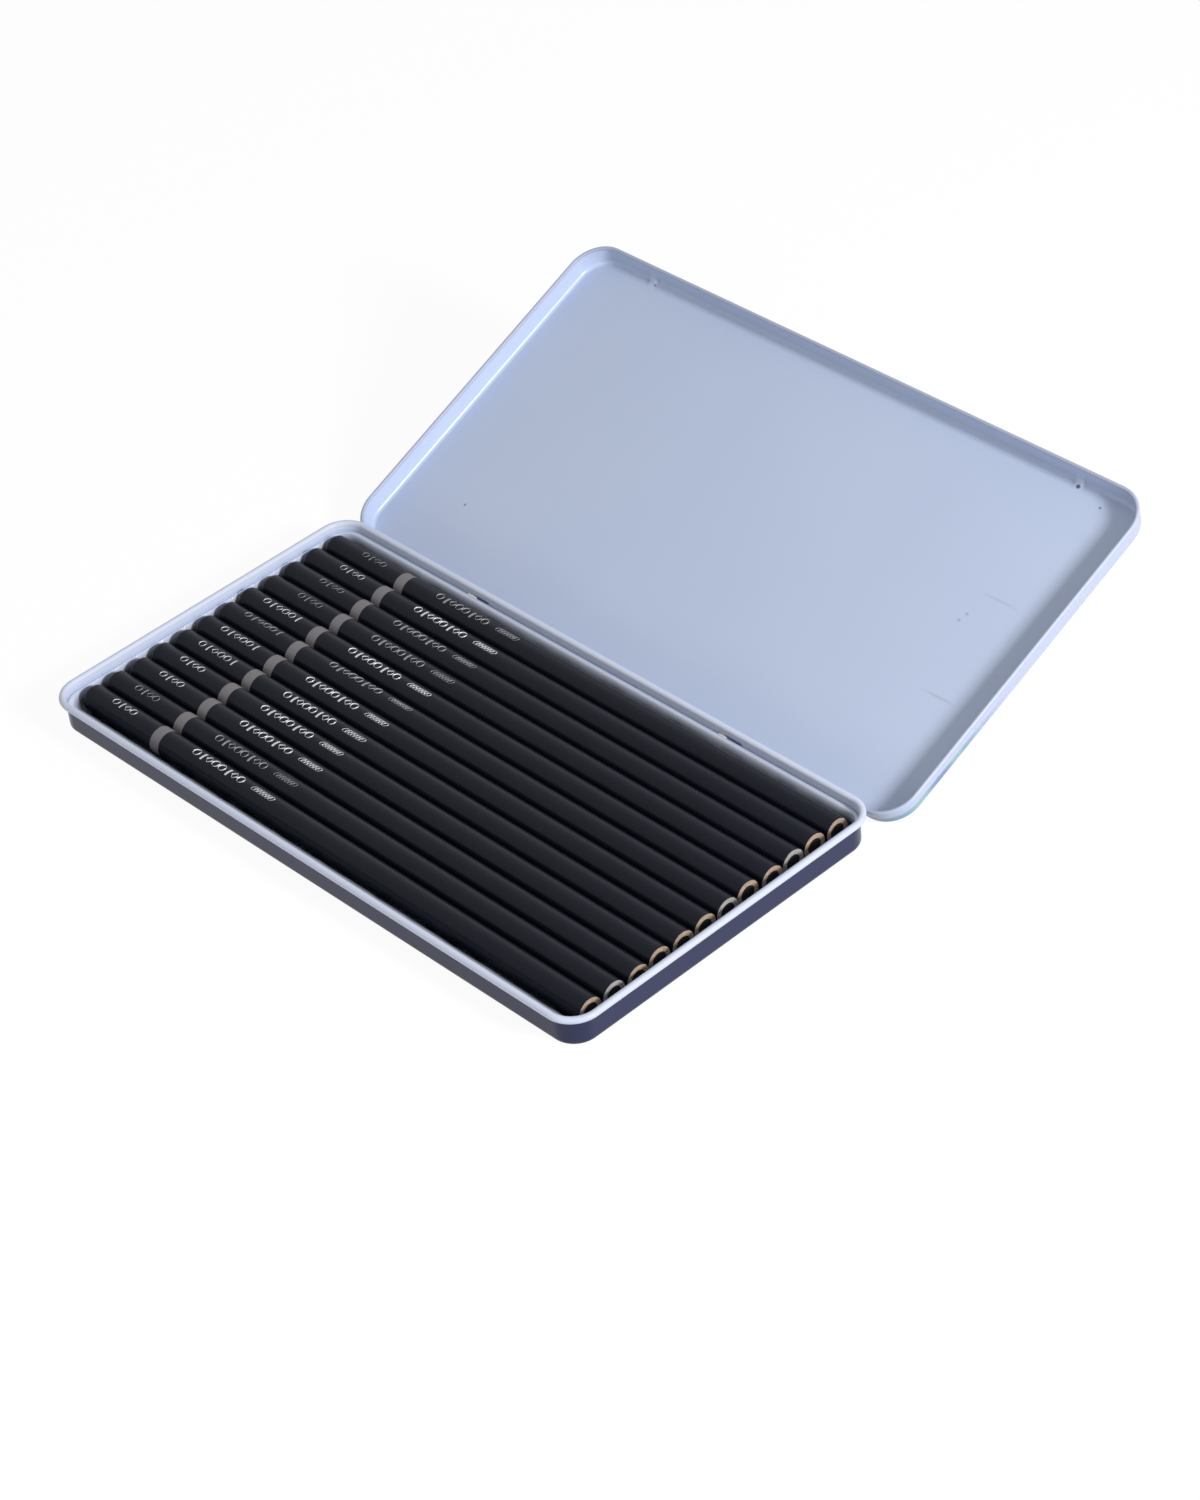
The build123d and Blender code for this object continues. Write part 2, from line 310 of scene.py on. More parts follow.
def painted_pocket_shade(tree: Tree, place: Any) -> Layers:
    """Darkens the tray's inside from its lip down with painted shade, unevenly over 6 mm.

    Args:
        tree: The material's node tree.
        place: The position socket.

    Returns:
        The one layer.
    """
    node = partial(add_node, tree)
    z = node("ShaderNodeSeparateXYZ", [place]).outputs["Z"]
    deep = node("ShaderNodeMapRange", {"Value": z, "From Min": 5.9 * MM, "From Max": 4.2 * MM})
    drift = node("ShaderNodeTexNoise", {"Vector": place, "Scale": 1 / (6 * MM), "Detail": 2.0})
    cover = node("ShaderNodeMath", [drift, POCKET_SHADE_EVEN], operation="ADD")
    painted_shade_amount = node("ShaderNodeMath", [deep, cover], operation="MULTIPLY", use_clamp=True)
    lean = node("ShaderNodeNewGeometry").outputs["True Normal"]
    up = node("ShaderNodeSeparateXYZ", [lean]).outputs["Z"]
    inside = node("ShaderNodeMath", [up, POCKET_SHADE_UPWARD], operation="GREATER_THAN")
    return [(node("ShaderNodeMath", [painted_shade_amount, inside], operation="MULTIPLY"), linear("#2e3039"))]


def edge_print(tree: Tree, place: Any) -> Layers:
    """Draws a plain run of cool colours, each about 12 mm long, which ends away from the hinge.

    Args:
        tree: The material's node tree.
        place: The position socket.

    Returns:
        The one layer.
    """
    node = partial(add_node, tree)
    drift = node("ShaderNodeTexNoise", {"Vector": place, "Scale": 1 / (12 * MM), "Detail": 1.0})
    run = node("ShaderNodeValToRGB", [drift])
    stops = ((0.3, "#66709f"), (0.42, "#5f88a6"), (0.5, "#79a3a4"), (0.6, "#7c7dab"))
    elements = run.color_ramp.elements
    while len(elements) < len(stops):
        elements.new(0.5)
    for element, (position, shade) in zip(elements, stops):
        element.position = position
        element.color = linear(shade)
    y = node("ShaderNodeSeparateXYZ", [place]).outputs["Y"]
    ramp = {"Value": y, "From Min": 74 * MM, "From Max": 92 * MM, "To Min": 0.85, "To Max": 0.0}
    fade = node("ShaderNodeMapRange", ramp)
    # The print starts at a height that is measured square to the open lid's top
    turn = math.radians(HINGE.open_deg)
    square = (0.0, math.sin(turn), math.cos(turn))
    height = node("ShaderNodeVectorMath", [place, square], operation="DOT_PRODUCT")
    span = {"Value": height.outputs["Value"], "From Min": 17.8 * MM, "From Max": 18.3 * MM}
    band = node("ShaderNodeMapRange", span)
    return [(node("ShaderNodeMath", [fade, band], operation="MULTIPLY"), run)]


def hatched(tree: Tree, place: Any) -> Layers:
    """Draws the ring ink's slanted hatch, a line every 0.5 mm.

    Args:
        tree: The material's node tree.
        place: The position socket.

    Returns:
        The one layer.
    """
    node = partial(add_node, tree)
    turned = node("ShaderNodeMapping", {"Vector": place, "Rotation": (0.0, 0.0, 0.7)})
    scale = math.tau / 20 / (0.5 * MM)
    lines = node("ShaderNodeTexWave", {"Vector": turned, "Scale": scale, "Distortion": 1.5})
    gaps = node("ShaderNodeMath", [1.0, lines.outputs["Fac"]], operation="SUBTRACT")
    return [(gaps, linear("#6f6a69"))]


@dataclass(frozen=True)
class Finish:
    """A finish of one real material, with its patches and its fine unevenness.

    Args:
        name: The real finish's name.
        colour: Its sRGB hex colour.
        second: The colour that it drifts to in patches.
        roughness: Microfacet roughness.
        metallic: Share of metal reflection.
        specular: Specular level, 0.5 for a plain dielectric.
        patch_mm: Size of the patches in millimetres.
        grain_mm: Size of its fine unevenness in millimetres.
        grain_height_mm: Height of that unevenness in millimetres.
        over: Gives the layers over the colour, from the tree and the position. Each is the
            share that it covers, and its colour.
    """

    name: str
    colour: str
    second: str
    roughness: float
    metallic: float = 0.0
    specular: float = 0.5
    patch_mm: float = 40.0
    grain_mm: float = 1.0
    grain_height_mm: float = 0.002
    over: Callable[[Tree, Any], Layers] | None = None

    def material(self) -> Material:
        """Gives the material, which its first use builds."""
        return bpy.data.materials.get(self.name) or self.build()

    def build(self) -> Material:
        """Builds the material.

        Returns:
            The new material.
        """
        material = bpy.data.materials.new(self.name)
        material.use_nodes = True
        tree = material.node_tree
        node = partial(add_node, tree)
        place = node("ShaderNodeTexCoord").outputs["Object"]
        patches, grain = (
            node("ShaderNodeTexNoise", {"Vector": place, "Scale": 1 / size, "Detail": detail})
            for size, detail in ((self.patch_mm * MM, 3.0), (self.grain_mm * MM, 2.0))
        )
        colour: Any = linear(self.colour)
        layers = [(patches, linear(self.second))]
        if self.over:
            layers += self.over(tree, place)
        for share, shade in layers:
            sockets = {MIX_SHARE: share, MIX_UNDER: colour, MIX_OVER: shade}
            colour = node("ShaderNodeMix", sockets, data_type="RGBA").outputs[MIX_RESULT]
        bump = node("ShaderNodeBump", {"Height": grain, "Distance": self.grain_height_mm * MM})
        shader = tree.nodes["Principled BSDF"]
        shader.inputs["Roughness"].default_value = self.roughness
        shader.inputs["Metallic"].default_value = self.metallic
        shader.inputs["Specular IOR Level"].default_value = self.specular
        tree.links.new(colour, shader.inputs["Base Color"])
        tree.links.new(bump.outputs[0], shader.inputs["Normal"])
        return material


# Pale lacquer stoved over tinplate: a soft lavender that mirrors its surroundings faintly
PALE_LACQUER = Finish(
    "stoved_lavender_lacquer_on_tinplate", "#bdc9e1", "#b5c2dc",
    roughness=0.32, metallic=0.05, specular=0.3, patch_mm=60.0, grain_mm=4.0, over=marked,
)
# The same lacquer as a lighter copy on the rolled rim, whose right end gets painted shade
ROLLED_LACQUER = Finish(
    "lighter_lavender_lacquer_on_rolled_rim", "#cfd6e9", "#c9d1e5",
    roughness=0.4, specular=0.2, patch_mm=25.0, grain_mm=2.0, grain_height_mm=0.003,
    over=painted_rim_shade,
)
# Offset print under varnish: deep navy, greyed by what its varnish mirrors
NAVY_PRINT = Finish(
    "varnished_navy_print_on_tinplate", "#252949", "#212544",
    roughness=0.25, specular=0.27, patch_mm=50.0, grain_mm=1.5,
)
# Offset print in cool colours on the lid's bend near the hinge, under varnish; beyond it the pale
# is a darker copy of the lavender lacquer, painted shade on the lid's outer wall
EDGE_PRINT_AND_SHADE = Finish(
    "varnished_cool_edge_print_over_painted_shade", "#adb5cb", "#a6afc6",
    roughness=0.32, specular=0.25, patch_mm=20.0, grain_mm=1.5, over=edge_print,
)
# Vacuum-formed polystyrene with a silvered face: mirrors the room and the black pencils, with
# painted shade deep in its pocket
SILVERED_STYRENE = Finish(
    "vacuum_formed_silvered_polystyrene", "#d6ddee", "#cfd7ea",
    roughness=0.34, metallic=0.3, patch_mm=30.0, grain_mm=3.0, grain_height_mm=0.003,
    over=painted_pocket_shade,
)
# Dipped cellulose lacquer over wood: near black, satin, faintly uneven along its length
BLACK_LACQUER = Finish(
    "satin_black_cellulose_lacquer", "#0d101b", "#121520",
    roughness=0.3, specular=0.13, patch_mm=12.0, grain_mm=0.8, grain_height_mm=0.0015,
)
# Screen-printed grey ink, over which a fine slanted hatch is laid
RING_INK = Finish(
    "screen_printed_grey_ink", "#85838a", "#77757b",
    roughness=0.5, specular=0.3, patch_mm=0.9, grain_mm=0.4, grain_height_mm=0.006,
    over=hatched,
)
# Hot-stamped silver foil: bright, slightly broken over the lacquer
SILVER_FOIL = Finish(
    "hot_stamped_silver_foil", "#e6e6ea", "#b9babf",
    roughness=0.4, metallic=0.3, patch_mm=1.0, grain_mm=0.35, grain_height_mm=0.005,
)
# The same foil rubbed thin: the black lacquer greys it
RUBBED_FOIL = replace(
    SILVER_FOIL, name="rubbed_silver_foil", colour="#a9aab1", second="#6f7076",
    roughness=0.45, metallic=0.2, patch_mm=0.8,
)
# Sawn basswood end grain: tan, dry, with fine pores
SAWN_BASSWOOD = Finish(
    "sawn_basswood_end_grain", "#c4ab93", "#877463",
    roughness=0.8, specular=0.3, patch_mm=0.9, grain_mm=0.25, grain_height_mm=0.04,
)
# The same end grain under charcoal powder: greyed
DUSTY_BASSWOOD = replace(
    SAWN_BASSWOOD, name="dusty_basswood_end_grain", colour="#b9b5b0", second="#85817c"
)
# Pressed charcoal: black and matt, with a crumbly face
PRESSED_CHARCOAL = Finish(
    "pressed_charcoal", "#17171a", "#222225",
    roughness=0.8, specular=0.2, patch_mm=1.5, grain_mm=0.3, grain_height_mm=0.05,
)


@dataclass(frozen=True)
class Ring:
    """One level of a pressed sheet: a rounded rectangle at a height.

    Args:
        half_x: Half its length.
        half_y: Half its width.
        corner: Its corner radius.
        height: Its z.
        centre: Its centre's x and y.
    """

    half_x: float
    half_y: float
    corner: float
    height: float = 0.0
    centre: tuple[float, float] = (0.0, 0.0)

    def grown(self, out: float, height: float) -> Ring:
        """Gives the ring that stands further out, or in below 0, at another height."""
        return Ring(self.half_x + out, self.half_y + out, self.corner + out, height, self.centre)

    def points(
        self, steps: int, hinge_stops: Sequence[float], front_stops: Sequence[float]
    ) -> list[Point]:
        """Goes round the ring, counter-clockwise seen from above.

        Args:
            steps: Steps in each corner.
            hinge_stops: Places in x that get a point on the hinge side, from +X to -X.
            front_stops: Places in x that get a point on the front side, from -X to +X.

        Returns:
            The points.
        """
        out: list[Point] = []
        corners = ((1, 1, hinge_stops), (-1, 1, ()), (-1, -1, front_stops), (1, -1, ()))
        for quarter, (side_x, side_y, stops) in enumerate(corners):
            x = self.centre[0] + side_x * (self.half_x - self.corner)
            y = self.centre[1] + side_y * (self.half_y - self.corner)
            for px, py in arc((x, y), self.corner, quarter * 90, quarter * 90 + 90, steps):
                out.append((px, py, self.height))
            edge = self.centre[1] + side_y * self.half_y
            out += [(stop, edge, self.height) for stop in stops]
        return out


@dataclass
class Pressing:
    """A sheet pressed round a rounded rectangle, as rings from one flat face to the other.

    Args:
        rings: Its levels, from its first flat face round the rim to its second.
        bands: Which finish each band between two rings has; the flat faces take those of
            their neighbours.
        hinge_stops: Both ends of each window on the hinge side, from +X to -X.
        windows: The two rows of the windows in the skin that comes first, then in the other.
        front_stops: Extra points on the front side, from -X to +X.
        corner_steps: Steps in each corner.
    """

    rings: list[Ring]
    bands: list[int]
    hinge_stops: Sequence[float] = ()
    windows: Sequence[tuple[int, int]] = ()
    front_stops: Sequence[float] = ()
    corner_steps: int = 18

    def build(
        self,
        name: str,
        finishes: Sequence[Finish],
        move: Callable[[Point, int], Point] | None = None,
    ) -> Piece:
        """Builds the closed sheet.

        Args:
            name: The piece's name.
            finishes: Its finishes.
            move: Moves a point, from the point and its row.

        Returns:
            The new piece.
        """
        rows = [r.points(self.corner_steps, self.hinge_stops, self.front_stops) for r in self.rings]
        wide = len(rows[0])
        points = [move(p, n) if move else p for n, row in enumerate(rows) for p in row]
        faces: list[list[int]] = [list(range(wide))[::-1]]
        choice = [self.bands[0]]
        first_stop = self.corner_steps + 1
        gaps = range(first_stop, first_stop + len(self.hinge_stops), 2)
        holes = {(row, gap) for gap in gaps for span in self.windows for row in range(*span)}
        for row in range(len(rows) - 1):
            for n in range(wide):
                if (row, n) not in holes:
                    a, b = row * wide + n, row * wide + (n + 1) % wide
                    faces.append([a, b, b + wide, a + wide])
                    choice.append(self.bands[row])
        faces.append([(len(rows) - 1) * wide + n for n in range(wide)])
        choice.append(self.bands[-1])
        for gap in gaps:
            (low, high), (far_high, far_low) = self.windows
            sides = (gap, gap + 1, gap + 1, gap)
            near, far = (
                [row * wide + side for row, side in zip((start, start, end, end), sides)]
                for start, end in ((low, high), (far_low, far_high))
            )
            for k in range(4):
                m = (k + 1) % 4
                faces.append([near[k], near[m], far[m], far[k]])
                choice.append(0)
        return add_mesh(name, points, faces, finishes, choice)


@dataclass
class TinBase:
    """The tin's base: a drawn tray with an open, outward rolled rim and two hinge lugs."""

    wall: Ring = Ring(92.34, 47.84, 6.34)
    sheet: float = 0.28
    bend_radius: float = 1.2
    bend_steps: int = 8
    curl_radius: float = 0.9
    curl_height: float = 8.3
    curl_end: float = -105.0
    curl_steps: tuple[int, int] = (24, 32)
    window_low: float = 1.741
    window_high: float = 7.3
    window_width: float = 8.0
    lug_width: float = 7.0
    lug_radius: float = 0.7
    lug_root: float = 0.6
    lug_rise: float = 35.0
    lug_wrap: float = 262.0
    lug_steps: tuple[int, int] = (6, 28)

    def section(self) -> tuple[Section, int, int]:
        """Draws the sheet's section.

        Returns:
            Offsets from the wall's middle and heights, the rim's first row and the inner wall's.
        """
        half = self.sheet / 2
        bend = (half - self.bend_radius, self.bend_radius)
        mid = self.curl_radius - half
        curl = (mid, self.curl_height)
        outer = arc(bend, self.bend_radius, -90, 0, self.bend_steps)
        outer += [(half, self.window_low), (half, self.window_high)]
        rim = arc(curl, mid - half, 180, self.curl_end, self.curl_steps[0])
        rim += arc(curl, mid + half, self.curl_end, 180, self.curl_steps[1])
        inner = [(-half, self.window_high), (-half, self.window_low)]
        inner += arc(bend, self.bend_radius - self.sheet, 0, -90, self.bend_steps)
        return outer + rim + inner, len(outer), len(outer) + len(rim)

    def lug(self, x: float) -> Piece:
        """Builds one lug, bent out of its window and rolled round the lid's hem.

        Args:
            x: The lug's middle.

        Returns:
            The new piece.
        """
        rise = self.lug_rise - 90
        wrapped = rise + self.lug_wrap
        wall = self.wall.half_y
        root = (wall + self.lug_root, self.window_low)
        axis = (HINGE.y, HINGE.z)
        half = self.sheet / 2
        bend_steps, roll_steps = self.lug_steps
        skins: list[Section] = []
        for side in (-1, 1):
            skin = [(wall - side * half, self.window_low - self.sheet)]
            skin += arc(root, self.lug_root + side * half, 180, 180 + rise, bend_steps)
            skin += arc(axis, self.lug_radius - side * half, rise, wrapped, roll_steps)
            skins.append(skin)
        ends = (x - self.lug_width / 2, x + self.lug_width / 2)
        points = [(end, y, z) for end in ends for skin in skins for y, z in skin]
        count = len(skins[0])
        last = count - 1
        faces = [[0, 2 * count, 3 * count, count], [last + k * count for k in (0, 1, 3, 2)]]
        for n in range(last):
            a, b, c, d = (n + k * count for k in range(4))
            faces += [[a, a + 1, c + 1, c], [b, d, d + 1, b + 1]]
            faces += [[a, b, b + 1, a + 1], [c, c + 1, d + 1, d]]
        return add_mesh("lug", points, faces, [PALE_LACQUER])

    def build(self) -> None:
        """Builds the base: pale inside, navy outside, with the rim's own finish."""
        section, rim, inside = self.section()
        rings = [self.wall.grown(out, z) for out, z in section]
        bands = [1] * rim + [2] * (inside - rim) + [0] * (len(rings) - 1 - inside)
        finishes = (PALE_LACQUER, NAVY_PRINT, ROLLED_LACQUER)
        stops = HINGE.stops(self.window_width)
        windows = ((rim - 2, rim - 1), (inside, inside + 1))
        shell = Pressing(rings, bands, stops, windows).build("tin_base", finishes)
        piece = join([shell, *(self.lug(x) for x in HINGE.places)])
        even_shading(piece)
        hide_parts("base_shell")
        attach(piece, "base")
        LOG.info("tin base: shell and %d lugs", len(HINGE.places))


@dataclass
class TinLid:
    """The tin's lid: a drawn tray with a round hem, notched for the lugs, dented at two places."""

    wall: Ring = Ring(95.5, 50.725, 9.0, centre=(0.7, -0.275))
    sheet: float = 0.28
    draft: float = 0.6
    bend_radius: float = 1.3
    bend_steps: int = 10
    top: float = 10.1
    hem_radius: float = 0.5
    hem_steps: int = 28
    notch_width: float = 9.0
    notch_height: float = 2.0
    dent_places: tuple[float, float] = (-73.4, 73.0)
    dent_reach: float = 1.75
    dent_half: float = 1.7
    dent_ease: float = 0.6
    dent_steps: int = 4
    floor_ring: float = 3.0

    def section(self) -> tuple[Section, int, int]:
        """Draws the sheet's section, shut.

        Returns:
            Offsets from the wall's middle and heights, and the hem's first and last rows.
        """
        half = self.sheet / 2
        bend = (half - self.bend_radius, self.top - self.bend_radius)
        meet = math.degrees(math.acos(half / self.hem_radius))
        hem = arc((0, HINGE.z), self.hem_radius, 180 - meet, 360 + meet, self.hem_steps)
        notch_top = HINGE.z + self.notch_height
        low = self.top - self.sheet - self.floor_ring
        inner = [(-half - self.floor_ring, self.top - self.sheet)]
        inner += arc(bend, self.bend_radius - self.sheet, 90, 0, self.bend_steps)
        inner += [(-half, low), (-half, notch_top)]
        outer = [(half, notch_top), (half, low)]
        outer += arc(bend, self.bend_radius, 0, 90, self.bend_steps)
        outer += [(-half - self.floor_ring, self.top)]
        foot = HINGE.z + self.hem_radius
        lean = self.draft / (self.top - foot)
        leaned = [(d - lean * max(0.0, z - foot), z) for d, z in inner + hem + outer]
        return leaned, len(inner), len(inner) + len(hem) - 1

    def dented(self, point: Point, outside: bool) -> Point:
        """Presses the dents into the bend of the front wall.

        Args:
            point: A point of the shut lid.
            outside: Whether it is on the outer skin.

        Returns:
            The point, moved where a dent is.
        """
        x, y, z = point
        away = min(abs(x - place) for place in self.dent_places)
        if y > 0 or away >= self.dent_half:
            return point
        skin = self.sheet / 2 if outside else -self.sheet / 2
        wall = self.wall.centre[1] - self.wall.half_y + self.draft - skin
        ceiling = self.top if outside else self.top - self.sheet
        ease = min(1.0, (self.dent_half - away) / self.dent_ease)
        reach = self.dent_reach * ease * ease * (3 - 2 * ease)
        push = max(0.0, reach - (y - wall) - (ceiling - z)) / 2
        return x, y + push, z - push

    def opened(self, point: Point) -> Point:
        """Turns a point of the shut lid open on the hinge.

        Args:
            point: A point of the shut lid.

        Returns:
            The same point of the open lid.
        """
        x, y, z = point
        y, z = y - HINGE.y, z - HINGE.z
        turn = math.radians(HINGE.open_deg)
        return (
            x,
            HINGE.y + y * math.cos(turn) + z * math.sin(turn),
            HINGE.z - y * math.sin(turn) + z * math.cos(turn),
        )

    def build(self) -> None:
        """Builds the lid: pale inside, navy on top, with the edge print over a pale of painted
        shade between them.
        """
        section, hem, hem_end = self.section()
        rings = [self.wall.grown(out, z) for out, z in section]
        bands = [0] * hem + [2] * (len(rings) - hem - 2) + [1]
        steps = self.dent_steps
        spread = [n / steps * self.dent_half for n in range(-steps, steps + 1)]
        front_stops = [place + step for place in self.dent_places for step in spread]
        windows = ((hem - 1, hem), (hem_end, hem_end + 1))
        stops = HINGE.stops(self.notch_width)

        def move(point: Point, row: int) -> Point:
            """Dents a point and turns it open."""
            return self.opened(self.dented(point, row > hem))

        sheet = Pressing(rings, bands, stops, windows, front_stops)
        piece = sheet.build("tin_lid", (PALE_LACQUER, NAVY_PRINT, EDGE_PRINT_AND_SHADE), move)
        even_shading(piece)
        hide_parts("lid_shell")
        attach(piece, "lid")
        LOG.info("tin lid: shell, hem, notches and %d dents", len(self.dent_places))


class MeshTree:
    """A geometry node tree with named inputs, whose result is baked into a piece."""

    def __init__(self, name: str, inputs: dict[str, str]) -> None:
        """Starts the tree.

        Args:
            name: The tree's name.
            inputs: The kind of each of its inputs, by the input's name.
        """
        self.tree = bpy.data.node_groups.new(name, "GeometryNodeTree")
        new_socket = self.tree.interface.new_socket
        self.keys = {
            label: new_socket(label, in_out="INPUT", socket_type=f"NodeSocket{kind}").identifier
            for label, kind in inputs.items()
        }
        new_socket("Piece", in_out="OUTPUT", socket_type="NodeSocketGeometry")
        self.node = partial(add_node, self.tree)
        self.start = self.node("NodeGroupInput").outputs

    def line(self, axis: str) -> Node:
        """Adds a line of Count points from Start on, a Pitch apart.

        Args:
            axis: The axis along which it runs.

        Returns:
            The node that gives it.
        """
        first, step = (
            self.node("ShaderNodeCombineXYZ", {axis: self.start[label]})
            for label in ("Start", "Pitch")
        )
        sizes = {"Count": self.start["Count"], "Start Location": first, "Offset": step}
        return self.node("GeometryNodeMeshLine", sizes)

    def around(self, along: Any, reach: Any, angle: Any) -> Node:
        """Adds a place round a pencil's axis.

        Args:
            along: Its x.
            reach: How far it is from the axis.
            angle: Its angle from straight up, towards the hinge.

        Returns:
            The node that gives it.
        """
        sides = []
        for wave, axis in (("SINE", "Axis Y"), ("COSINE", "Axis Z")):
            part = self.node("ShaderNodeMath", [angle], operation=wave)
            sums = [reach, part, self.start[axis]]
            sides.append(self.node("ShaderNodeMath", sums, operation="MULTIPLY_ADD"))
        return self.node("ShaderNodeCombineXYZ", [along, *sides])

    def close(self, shape: Node) -> None:
        """Ends the tree: the shape is made real and dressed in the input called Finish.

        Args:
            shape: The node that gives the shape.
        """
        real = self.node("GeometryNodeRealizeInstances", [shape])
        looks = {"Geometry": real, "Material": self.start["Finish"]}
        self.node("NodeGroupOutput", [self.node("GeometryNodeSetMaterial", looks)])

    def run(
        self, piece: Piece, finish: Finish, lengths: dict[str, float], others: dict[str, Any]
    ) -> Piece:
        """Runs the tree on a piece and bakes what it gives.

        Args:
            piece: The piece.
            finish: Its finish.
            lengths: Inputs in millimetres, by name.
            others: The other inputs, by name.

        Returns:
            The same piece.
        """
        modifier = piece.modifiers.new(self.tree.name, "NODES")
        modifier.node_group = self.tree
        values = {label: length * MM for label, length in lengths.items()}
        for label, value in (values | others | {"Finish": finish.material()}).items():
            modifier[self.keys[label]] = value
        bake(piece)
        return piece


class RibRepeat(MeshTree):
    """Repeats a rib across the tray."""

    def __init__(self) -> None:
        """Builds the tree: the rib stands on each point of a line."""
        kinds = {"Rib": "Geometry", "Count": "Int", "Start": "Float", "Pitch": "Float"}
        super().__init__("repeat_ribs", kinds | {"Finish": "Material"})
        sources = {"Points": self.line("Y"), "Instance": self.start["Rib"]}
        self.close(self.node("GeometryNodeInstanceOnPoints", sources))


@dataclass
class FormedTray:
    """The tray under the pencils: a lip, sloped shoulders, a pocket and ribs on its floor."""

    lip: Ring = Ring(92.1, 47.6, 6.1, 6.5)
    lip_width: float = 0.77
    lip_bevel: float = 0.12
    pocket: Ring = Ring(90.6, 44.09, 3.0, 3.2, (0.0, 1.0))
    shoulder_steps: int = 10
    shoulder_power: float = 1.3
    sheet: float = 0.4
    bottom: float = 0.38
    bottom_bevel: float = 0.3
    floor_bevel: float = 0.5
    rib_count: int = 11
    rib_pitch: float = 7.28
    rib_height: float = 1.7
    rib_top: float = 0.9
    rib_foot: float = 3.2
    rib_sink: float = 0.05
    rib_gap: float = 0.6

    def rings(self) -> list[Ring]:
        """Goes from the underside round the lip to the pocket's floor.

        Returns:
            The rings.
        """
        lip, pocket, sheet = self.lip, self.pocket, self.sheet
        low, top = pocket.height, lip.height
        rings = [
            pocket.grown(sheet - self.bottom_bevel, self.bottom),
            pocket.grown(sheet, self.bottom + self.bottom_bevel),
            pocket.grown(sheet, low - sheet),
            lip.grown(sheet / 2 - self.lip_width, top - sheet),
            lip.grown(0, top - sheet),
            lip.grown(0, top - self.lip_bevel),
            lip.grown(-self.lip_bevel, top),
        ]
        mouth = lip.grown(-self.lip_width, top)
        for n in range(self.shoulder_steps + 1):
            inward = n / self.shoulder_steps
            rings.append(
                Ring(
                    mouth.half_x + (pocket.half_x - mouth.half_x) * inward,
                    mouth.half_y + (pocket.half_y - mouth.half_y) * inward,
                    mouth.corner + (pocket.corner - mouth.corner) * inward,
                    top + (low - top) * inward**self.shoulder_power,
                    (0.0, pocket.centre[1] * inward),
                )
            )
        floor, bevel = self.bottom + sheet, self.floor_bevel
        return rings + [pocket.grown(0, floor + bevel), pocket.grown(-bevel, floor)]

    def ribs(self) -> Piece:
        """Builds the ribs between the pencils, one node tree's repeat of one rib.

        Returns:
            The new piece.
        """
        floor = self.bottom + self.sheet
        low, high = floor - self.rib_sink, floor + self.rib_height
        foot, top = self.rib_foot / 2, self.rib_top / 2
        profile = [(-foot, low), (-top, high), (top, high), (foot, low)]
        end = self.pocket.half_x - self.rib_gap
        points = [(x, y, z) for x in (-end, end) for y, z in profile]
        faces = [[n + 4, (n + 1) % 4 + 4, (n + 1) % 4, n] for n in range(4)]
        faces += [[0, 1, 2, 3], [7, 6, 5, 4]]
        rib = add_mesh("tray_ribs", points, faces, [SILVERED_STYRENE])
        first = self.pocket.centre[1] - (self.rib_count - 1) / 2 * self.rib_pitch
        lengths = {"Start": first, "Pitch": self.rib_pitch}
        return RibRepeat().run(rib, SILVERED_STYRENE, lengths, {"Count": self.rib_count})

    def build(self) -> None:
        """Builds the tray."""
        rings = self.rings()
        sheet = Pressing(rings, [0] * (len(rings) - 1))
        shell = sheet.build("formed_tray", [SILVERED_STYRENE])
        even_shading(shell)
        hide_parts("pencil_tray")
        for piece in (shell, self.ribs()):
            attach(piece, "tray")
        LOG.info("formed tray: shell and %d ribs", self.rib_count)


